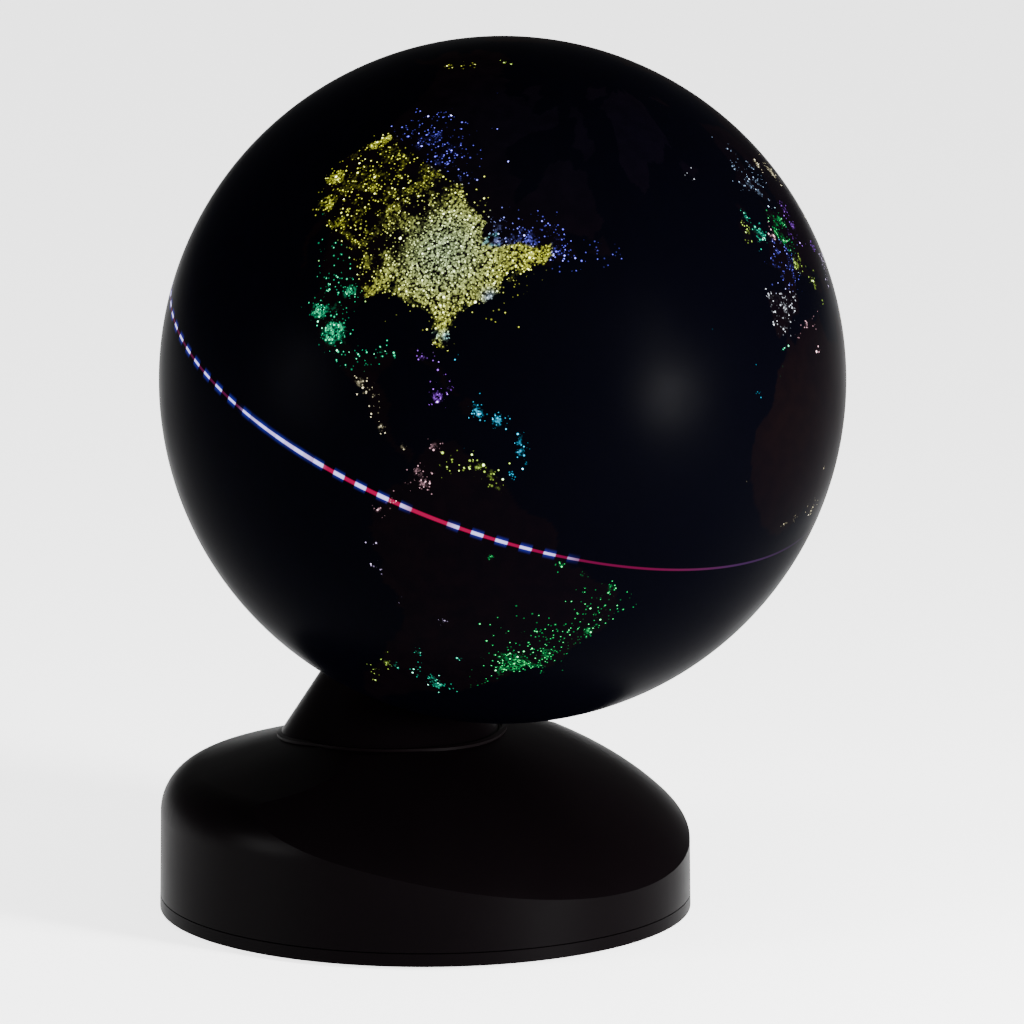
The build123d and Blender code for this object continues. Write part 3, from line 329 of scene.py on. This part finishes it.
# Countries filled with dots: (colour, outline, share in the west, share in the east, where it changes).
FILLED = [
    (YELLOW, [
        (49, -124), (49, -95), (47, -90), (46, -84), (42, -83), (43, -79), (45, -75), (45, -71),
        (47, -68), (45, -67), (41, -69), (40, -73), (35, -75), (31, -80), (25, -79.5), (25, -82),
        (29, -84), (29, -89), (28.5, -95), (26, -97), (29, -102), (32, -107), (32, -115),
        (33, -118), (40, -125),
    ], 0.42, 0.95, -99),
    (TEAL, [
        (31, -113), (31, -107), (29, -102), (26, -98), (18, -95), (18, -91), (21, -90), (21, -87),
        (16, -91), (15, -95), (20, -106),
    ], 0.20, 0.34, -102),
    (EMERALD, [
        (-3, -40), (-7, -34.5), (-16, -39), (-23, -42), (-28, -49), (-33, -53), (-28, -55),
        (-22, -54), (-14, -46),
    ], 0.14, 0.30, -46),
    (VIOLET_BLUE, [
        (51, 2), (49, -1), (48, -5), (46, -1), (43, -2), (42, 3), (44, 7), (49, 8),
    ], 0.35, 0.40, 2),
    (WHITE, [(43, -9), (43, -2), (42, 3), (38, 0), (36, -6), (37, -9)], 0.35, 0.35, -4),
]

# Places where the dots turn another colour: (colour, latitude, longitude, radius in degrees).
TURNED = [
    ((0.70, 0.92, 0.42), 38.5, -89, 8),
    ((0.35, 0.85, 1.0), 27, -79.9, 0.9),
    ((0.35, 0.85, 1.0), 26.5, -82.2, 0.6),
    ((0.60, 0.80, 1.0), 35.2, -75.8, 1.2),
]

# Broad washes of colour on the land: (colour, latitude, longitude, radius in degrees).
LAND_BROWN = (0.0018, 0.0006, 0.0005)
WASHES = [
    ((0.0014, 0.0008, 0.0020), 73, -42, 16),
    ((0.0012, 0.0007, 0.0016), 66, -95, 20),
    ((0.0042, 0.0016, 0.0006), 24, -6, 12),
    ((0.0030, 0.0012, 0.0005), 20, 22, 18),
    ((0.0012, 0.0008, 0.0018), -80, 0, 30),
]
OCEAN = (0.0001, 0.0001, 0.0005)
OFFSHORE = 0.55                   # small islands aren't in the outlines, so some light stays at sea
LIGHT_FALLOFF = 0.55              # how fast a lit region thins outwards
STEP_WIDTH = 7                    # degrees over which a filled country grows fuller eastwards

# Waves on the coastlines: (size in degrees, waves along latitude, waves along longitude).
WAVES = ((0.55, 9, 7), (0.35, 17, -13), (0.2, 37, 29))
WAVE_RATE = 3


def inside(outline, lat, lon):
    """True where a point is inside a closed outline of (latitude, longitude) points."""
    hit = np.zeros(lat.shape, bool)
    for (lat_a, lon_a), (lat_b, lon_b) in zip(outline, outline[1:] + outline[:1]):
        if lat_a == lat_b:
            continue
        crossing = lon_a + (lat - lat_a) / (lat_b - lat_a) * (lon_b - lon_a)
        hit ^= ((lat_a > lat) != (lat_b > lat)) & (lon < crossing)
    return hit


def wobble(lat, lon, phase):
    """Small waves that roughen the typed coastlines."""
    total = 0
    for k, (size, along_lat, along_lon) in enumerate(WAVES, 1):
        angle = radians(1) * (along_lat * lat + along_lon * lon) * WAVE_RATE
        total = total + size * np.sin(angle + k * phase)
    return total


def is_land(lat, lon):
    rough_lat = lat + wobble(lat, lon, 0.3)
    rough_lon = lon + wobble(lon, lat, 1.7)
    land = np.zeros(lat.shape, bool)
    for outline in LAND.values():
        land |= inside(outline, rough_lat, rough_lon)
    return land


def degrees_apart(lat, lon, lat_0, lon_0):
    across = (lon - lon_0 + 180) % 360 - 180
    return np.hypot(lat - lat_0, across * np.cos(np.radians(lat_0)))


def paint(lat, lon):
    """Land colour, dot colour and how full of dots, at each point of the map."""
    land = is_land(lat, lon)
    ground = np.where(land[:, None], np.array(LAND_BROWN), np.array(OCEAN))
    for colour, lat_0, lon_0, radius in WASHES:
        weight = np.exp(-(degrees_apart(lat, lon, lat_0, lon_0) / radius) ** 2) * land
        ground = ground * (1 - weight[:, None]) + np.array(colour) * weight[:, None]
    nearest = np.full(lat.shape, 1e9)
    tint = np.ones((lat.size, 3))
    full = np.zeros(lat.shape)
    for colour, regions in LIGHTS:
        for lat_0, lon_0, radius, amount in regions:
            apart = degrees_apart(lat, lon, lat_0, lon_0) / radius
            full = np.maximum(full, amount * np.exp(-LIGHT_FALLOFF * apart ** 2))
            closer = apart < nearest
            nearest[closer] = apart[closer]
            tint[closer] = colour
    for colour, outline, west, east, middle in FILLED:
        within = inside(outline, lat, lon)
        step = 0.5 + 0.5 * np.tanh((lon - middle) / STEP_WIDTH)
        full = np.where(within, np.maximum(full, west + (east - west) * step), full)
        tint[within] = colour
    for colour, lat_0, lon_0, radius in TURNED:
        weight = np.exp(-(degrees_apart(lat, lon, lat_0, lon_0) / radius) ** 2)[:, None]
        tint = tint * (1 - weight) + np.array(colour) * weight
    return ground, tint, full * np.where(land, 1.0, OFFSHORE)


# -------------------------------------------------------------- node helpers

class Graph:
    """Builds a material's nodes by short calls."""

    def __init__(self, name):
        self.material = bpy.data.materials.new(name)
        self.material.use_nodes = True
        self.tree = self.material.node_tree
        self.shader = self.tree.nodes["Principled BSDF"]
        self.place = self.add("ShaderNodeTexCoord").outputs["Object"]

    def add(self, kind, **settings):
        node = self.tree.nodes.new(kind)
        for key, value in settings.items():
            setattr(node, key, value)
        return node

    def feed(self, socket, value):
        if isinstance(value, bpy.types.NodeSocket):
            self.tree.links.new(value, socket)
        else:
            socket.default_value = value

    def math(self, operation, a, b=0.0, c=0.0):
        node = self.add("ShaderNodeMath", operation=operation)
        for socket, value in zip(node.inputs, (a, b, c)):
            self.feed(socket, value)
        return node.outputs[0]

    def ramp(self, value, low, high, out_low=0.0, out_high=1.0):
        node = self.add("ShaderNodeMapRange", interpolation_type="SMOOTHSTEP")
        for socket, item in zip(node.inputs, (value, low, high, out_low, out_high)):
            self.feed(socket, item)
        return node.outputs[0]

    def mix(self, factor, a, b, blend="MIX"):
        node = self.add("ShaderNodeMix", data_type="RGBA", blend_type=blend)
        self.feed(node.inputs["Factor"], factor)
        self.feed(node.inputs["A"], a)
        self.feed(node.inputs["B"], b)
        return node.outputs["Result"]

    def vector(self, operation, a, b):
        node = self.add("ShaderNodeVectorMath", operation=operation)
        self.feed(node.inputs[0], a)
        self.feed(node.inputs[1], b)
        return node.outputs["Value" if operation == "DOT_PRODUCT" else "Vector"]

    def grey(self, value):
        """A colour whose three channels are one number."""
        node = self.add("ShaderNodeCombineXYZ")
        for socket in node.inputs:
            self.feed(socket, value)
        return node.outputs[0]

    def noise(self, scale, detail=3.0):
        node = self.add("ShaderNodeTexNoise")
        self.feed(node.inputs["Vector"], self.place)
        self.feed(node.inputs["Scale"], scale)
        self.feed(node.inputs["Detail"], detail)
        return node.outputs["Fac"]

    def cells(self, scale):
        node = self.add("ShaderNodeTexVoronoi")
        self.feed(node.inputs["Vector"], self.place)
        self.feed(node.inputs["Scale"], scale)
        parts = self.add("ShaderNodeSeparateColor")
        self.feed(parts.inputs[0], node.outputs["Color"])
        return node.outputs["Distance"], parts.outputs[0], parts.outputs[1]

    def attribute(self, name):
        return self.add("ShaderNodeAttribute", attribute_name=name)

    def bump(self, height, strength, distance):
        node = self.add("ShaderNodeBump")
        self.feed(node.inputs["Height"], height)
        self.feed(node.inputs["Strength"], strength)
        self.feed(node.inputs["Distance"], distance)
        self.feed(self.shader.inputs["Normal"], node.outputs["Normal"])


def moulded(name, colour, roughness, grain=0.0004, bump=0.15, gloss=0.5):
    """Textured plastic or rubber: fine moulded grain with slightly uneven gloss."""
    g = Graph(name)
    fine = g.noise(1 / grain, 2.0)
    broad = g.noise(18.0, 4.0)
    dark = (*[c * 0.8 for c in colour], 1)
    light = (*[min(1.0, c * 1.25) for c in colour], 1)
    g.feed(g.shader.inputs["Base Color"], g.mix(broad, dark, light))
    g.feed(g.shader.inputs["Roughness"], g.ramp(broad, 0.2, 0.8, roughness - 0.04, roughness + 0.05))
    g.shader.inputs["Specular IOR Level"].default_value = gloss
    g.bump(fine, bump, grain * 0.25)
    return g.material


def metal(name, colour, roughness):
    """Machined or drawn metal with fine uneven polish."""
    g = Graph(name)
    streak = g.noise(700.0, 3.0)
    dark = (*[c * 0.82 for c in colour], 1)
    g.feed(g.shader.inputs["Base Color"], g.mix(streak, dark, (*colour, 1)))
    g.feed(g.shader.inputs["Roughness"], g.ramp(streak, 0.2, 0.8, roughness - 0.06, roughness + 0.08))
    g.shader.inputs["Metallic"].default_value = 1.0
    g.bump(streak, 0.08, 0.0001)
    return g.material


def equator_light(g):
    """Crimson line with pale dashes and a blue glow; palest over the Pacific, it fades past Brazil."""
    from_centre = g.vector("SUBTRACT", g.place, tuple(centre))
    height = g.vector("DOT_PRODUCT", from_centre, tuple(axis))
    turn = g.math("ARCTAN2", g.vector("DOT_PRODUCT", from_centre, tuple(back)),
                  g.vector("DOT_PRODUCT", from_centre, tuple(right)))
    east = g.math("SUBTRACT", g.math("MULTIPLY", turn, 180 / pi), degrees(MAP_TURN) - 360)
    east = g.math("WRAP", east, 180.0, -180.0)
    off = g.math("ABSOLUTE", g.math("SUBTRACT", height, GLOBE_R * MAP_SHIFT))
    thin = g.math("MULTIPLY", g.ramp(east, *BRIGHTENS, THINNEST, 1.0), g.ramp(east, *NARROWS, 1.0, THINNEST))
    line = g.ramp(g.math("DIVIDE", off, thin), 1.2 * EQUATOR_HALF, 0.7 * EQUATOR_HALF)
    glow = g.ramp(off, EQUATOR_GLOW, 0.0)

    swing = g.math("PINGPONG", g.math("DIVIDE", g.math("SUBTRACT", east, DASH_START), DASH_DEGREES), 0.5)
    behind = g.ramp(east, *RETURNS)
    shown = g.math("MAXIMUM", g.ramp(east, *DASHES_END, 1.0, 0.0), behind)
    dashes = g.math("MULTIPLY", g.ramp(swing, 0.27, 0.22), shown)
    from_gap = g.math("ABSOLUTE", g.math("SUBTRACT", east, DASH_GAP))
    dashes = g.math("MULTIPLY", dashes, g.ramp(from_gap, *GAP_REACH))
    solid = g.math("MULTIPLY", g.ramp(east, *SOLID_STARTS), g.ramp(east, *SOLID_ENDS, 1.0, 0.0))
    pale = g.math("MAXIMUM", dashes, g.math("MULTIPLY", solid, SOLID_SHARE))
    red = g.mix(g.ramp(east, *BRIGHTENS), DIM_RED, CRIMSON)
    red = g.mix(g.ramp(east, *DEEPENS), red, DEEP_RED)
    red = g.mix(g.ramp(east, *GREYS), red, GREY_RED)
    red = g.mix(behind, red, DIM_RED)
    colour = g.mix(pale, red, DASH_PALE)
    halo = g.mix(g.math("MULTIPLY", pale, g.math("MULTIPLY", glow, HALO_SHARE)), NOTHING, GLOW_BLUE)
    lit = g.mix(1.0, g.mix(line, NOTHING, colour), halo, "ADD")
    level = g.math("MAXIMUM", g.ramp(east, *FADES, 1.0, FADED), behind)
    return g.mix(1.0, lit, g.grey(level), "MULTIPLY")


def city_light(g, full):
    """Brightness of the dots, and of the even glow of the most crowded regions."""
    clumps = g.ramp(g.noise(CLUMP_SCALE, 4.0), 0.38, 0.60, 0.30, 1.0)
    crowd = g.math("MULTIPLY", full, g.math("MAXIMUM", clumps, g.ramp(full, 0.55, 0.95)))
    light = None
    for pitch, share, size, power in DOT_LAYERS:
        distance, chance, strength = g.cells(1 / pitch)
        dot = g.ramp(distance, size, 0.25 * size)
        lit = g.math("LESS_THAN", chance, g.math("MULTIPLY", crowd, share))
        varied = g.math("MULTIPLY", g.math("POWER", strength, 2.0), power)
        amount = g.math("MULTIPLY", g.math("MULTIPLY", dot, lit), g.math("ADD", varied, FAINTEST_DOT))
        light = amount if light is None else g.math("ADD", light, amount)
    speckle = g.ramp(g.noise(1 / HAZE_GRAIN, 4.0), 0.42, 0.72)
    haze = g.math("MULTIPLY", g.math("MULTIPLY", g.ramp(crowd, 0.30, 1.0), speckle), HAZE)
    return g.math("ADD", light, haze)


def globe_print():
    """Satin black ball with a barely visible map and small glowing dots of many colours."""
    g = Graph("globe_print")
    ground = g.attribute("ground").outputs["Color"]
    tint = g.attribute("tint").outputs["Color"]
    full = g.attribute("full").outputs["Fac"]
    mottle = g.ramp(g.noise(160.0, 5.0), 0.3, 0.7, 0.5, 1.3)
    land = g.mix(1.0, ground, g.grey(mottle), "MULTIPLY")
    light = city_light(g, full)
    whiter = g.mix(g.ramp(light, 2.0, 8.0, 0.0, 0.6), tint, (1, 1, 1, 1))
    lamp = g.mix(1.0, whiter, g.grey(light), "MULTIPLY")
    colour = g.mix(1.0, g.mix(1.0, land, lamp, "ADD"), equator_light(g), "ADD")
    g.feed(g.shader.inputs["Base Color"], g.mix(LAND_SHARE, BALL_BLACK, ground))
    g.feed(g.shader.inputs["Emission Color"], colour)
    g.shader.inputs["Emission Strength"].default_value = 1.0
    g.feed(g.shader.inputs["Roughness"], g.ramp(g.noise(30.0), 0.3, 0.7, 0.30, 0.36))
    g.shader.inputs["Specular IOR Level"].default_value = BALL_GLOSS
    return g.material


# ----------------------------------------------------------------- the globe

def ball_grid(r, rows):
    """Rows of points from the rim of the south opening up to the last ring below the north pole."""
    low = -np.arccos(HOLE_R / r)
    lat = np.linspace(low, pi / 2, rows + 1)[:-1]
    lon = np.arange(LONGITUDES) * 2 * pi / LONGITUDES
    lat, lon = [a.ravel() for a in np.meshgrid(lat, lon, indexing="ij")]
    e1, e2, e3 = np.array(right), np.array(back), np.array(axis)
    flat = np.cos(lon)[:, None] * e1 + np.sin(lon)[:, None] * e2
    points = np.array(centre) + r * (flat * np.cos(lat)[:, None] + e3 * np.sin(lat)[:, None])
    return points, lat, lon


def ball_faces(first, rows, top, flip):
    """Quads between rows and triangles round the pole, as vertex lists."""
    faces = []
    for row in range(rows - 1):
        a = first + row * LONGITUDES
        for k in range(LONGITUDES):
            m = (k + 1) % LONGITUDES
            quad = (a + k, a + m, a + LONGITUDES + m, a + LONGITUDES + k)
            faces.append(quad[::-1] if flip else quad)
    a = first + (rows - 1) * LONGITUDES
    for k in range(LONGITUDES):
        m = (k + 1) % LONGITUDES
        cap = (a + k, a + m, top)
        faces.append(cap[::-1] if flip else cap)
    return faces


def make_globe():
    outer, lat, lon = ball_grid(GLOBE_R, OUTER_ROWS)
    inner, _, _ = ball_grid(GLOBE_R - SKIN_T, INNER_ROWS)
    north = [list(centre + axis * GLOBE_R), list(centre + axis * (GLOBE_R - SKIN_T))]
    points = np.vstack([outer, inner, north])
    poles = len(outer) + len(inner)
    faces = ball_faces(0, OUTER_ROWS, poles, False)
    faces += ball_faces(len(outer), INNER_ROWS, poles + 1, True)
    for k in range(LONGITUDES):
        m = (k + 1) % LONGITUDES
        faces.append((m, k, len(outer) + k, len(outer) + m))
    mesh = bpy.data.meshes.new("globe_skin")
    mesh.from_pydata(points.tolist(), [], faces)
    mesh.shade_smooth()

    lat = np.append(lat, pi / 2)
    lon = np.append(lon, 0)
    map_lat = np.degrees((lat - MAP_SHIFT) / MAP_STRETCH)
    map_lon = (np.degrees(lon - MAP_TURN) + 180) % 360 - 180
    ground, tint, full = paint(map_lat, map_lon)
    fields = {"ground": ground, "tint": tint}
    seen = np.append(np.arange(len(outer)), poles)
    for name, values in fields.items():
        colours = np.zeros((len(points), 4))
        colours[:, 3] = 1
        colours[seen, :3] = values
        layer = mesh.color_attributes.new(name, "FLOAT_COLOR", "POINT")
        layer.data.foreach_set("color", colours.ravel())
    amounts = np.zeros(len(points))
    amounts[seen] = full
    mesh.attributes.new("full", "FLOAT", "POINT").data.foreach_set("value", amounts)

    skin = bpy.data.objects.new("globe_skin", mesh)
    bpy.context.scene.collection.objects.link(skin)
    mesh.materials.append(globe_print())
    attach(skin, "globe")
    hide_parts("globe_north_shell", "globe_south_shell")


# ------------------------------------------------------------ CAD node finish

CASING_BLACK = (0.0005, 0.0003, 0.0004)
CASING_GRAIN = 0.0006
CASING_GLOSS = 0.0075


def finish_nodes():
    """Gives each CAD node the material of its slot in the record."""
    looks = {
        "casing_plastic": moulded("casing", CASING_BLACK, 0.38, CASING_GRAIN, 0.10, CASING_GLOSS),
        "tray_plastic": moulded("tray", CASING_BLACK, 0.40, CASING_GRAIN, 0.10, CASING_GLOSS),
        "globe_plastic": moulded("globe_wall", (0.01, 0.01, 0.015), 0.45),
        "inner_plastic": moulded("acetal", (0.70, 0.69, 0.66), 0.45),
        "diffuser_plastic": moulded("milky", (0.80, 0.80, 0.77), 0.55),
        "button_plastic": moulded("button", (0.006, 0.006, 0.007), 0.38, gloss=0.06),
        "trim_metal": moulded("trim", (0.0008, 0.0005, 0.0006), 0.34, gloss=0.006),
        "rubber": moulded("rubber", (0.014, 0.014, 0.014), 0.80, bump=0.4),
        "screw_steel": metal("zinc", (0.62, 0.62, 0.60), 0.32),
        "ballast_steel": metal("ballast", (0.20, 0.20, 0.21), 0.5),
        "bronze": metal("bronze", (0.62, 0.40, 0.17), 0.38),
        "sheet_steel": metal("sheet", (0.60, 0.60, 0.61), 0.34),
        "aluminium": metal("aluminium", (0.78, 0.78, 0.79), 0.36),
        "board": moulded("board", (0.012, 0.11, 0.035), 0.35),
        "lead_insulation": moulded("lead", (0.03, 0.03, 0.03), 0.6),
    }
    for part in frame["record"]["subparts"]:
        mesh = nodes[part["node"]].data
        mesh.materials.clear()
        mesh.materials.append(looks[part["material_slot"]])


# ----------------------------------------------------------- floor and light

FLOOR_HALF = 6.0
FLOOR_GLOW = 2.7                  # the backdrop is lit from below, which leaves it nearly white
WORLD_LIGHT = 0.3
LIGHT_SPREAD = 100.0              # degrees; keeps the low lights from drawing an edge on the floor

# Soft boxes: (name, azimuth, elevation, distance, width, height, watts).
LAMPS = (
    ("key", 0, 12, 1.5, 0.16, 1.0, 18),
    ("low", 2, 4, 1.3, 0.3, 0.25, 38),
    ("left", -120, 6, 1.5, 0.5, 0.5, 14),
    ("top", -60, 75, 2.0, 1.6, 1.6, 8),
)

# The camera, aimed at the middle of the object; azimuth 0 looks along +Y.
CAMERA_AZIMUTH = -52.0
CAMERA_HEIGHT = 10.9
CAMERA_DISTANCE = 3.0
CAMERA_LENS = 282.35
AIM = Vector((0.02008, -0.02571, 0.1514))


def make_floor():
    mesh = bpy.data.meshes.new("floor")
    corners = [(-1, -1, 0), (1, -1, 0), (1, 1, 0), (-1, 1, 0)]
    mesh.from_pydata([(x * FLOOR_HALF, y * FLOOR_HALF, z) for x, y, z in corners], [], [(0, 1, 2, 3)])
    floor = bpy.data.objects.new("floor", mesh)
    bpy.context.scene.collection.objects.link(floor)
    g = Graph("floor")
    g.feed(g.shader.inputs["Base Color"], g.mix(g.noise(3.0), (0.80, 0.80, 0.80, 1), (0.84, 0.84, 0.84, 1)))
    g.shader.inputs["Roughness"].default_value = 0.7
    g.shader.inputs["Emission Color"].default_value = (1, 1, 1, 1)
    g.shader.inputs["Emission Strength"].default_value = FLOOR_GLOW
    mesh.materials.append(g.material)


def make_world(strength):
    world = bpy.data.worlds.new("studio")
    world.use_nodes = True
    world.node_tree.nodes["Background"].inputs["Color"].default_value = (1, 1, 1, 1)
    world.node_tree.nodes["Background"].inputs["Strength"].default_value = strength
    bpy.context.scene.world = world


def make_light(name, azimuth, elevation, distance, width, height, power):
    """Soft box aimed at the middle of the object; azimuth as for the camera."""
    data = bpy.data.lights.new(name, "AREA")
    data.shape = "RECTANGLE"
    data.size = width
    data.size_y = height
    data.spread = radians(LIGHT_SPREAD)
    data.energy = power
    lamp = bpy.data.objects.new(name, data)
    bpy.context.scene.collection.objects.link(lamp)
    lamp.location = AIM + outward(azimuth, elevation) * distance
    lamp.rotation_euler = (AIM - lamp.location).to_track_quat("-Z", "Y").to_euler()


def outward(azimuth, elevation):
    a, e = radians(azimuth), radians(elevation)
    return Vector((sin(a) * cos(e), -cos(a) * cos(e), sin(e)))


def make_camera():
    data = bpy.data.cameras.new("camera")
    data.lens = CAMERA_LENS
    data.clip_end = 50
    camera = bpy.data.objects.new("camera", data)
    bpy.context.scene.collection.objects.link(camera)
    camera.location = AIM + outward(CAMERA_AZIMUTH, CAMERA_HEIGHT) * CAMERA_DISTANCE
    camera.rotation_euler = (AIM - camera.location).to_track_quat("-Z", "Y").to_euler()
    bpy.context.scene.camera = camera


make_camera()
finish_nodes()
make_globe()
make_floor()
make_world(WORLD_LIGHT)
for lamp in LAMPS:
    make_light(*lamp)
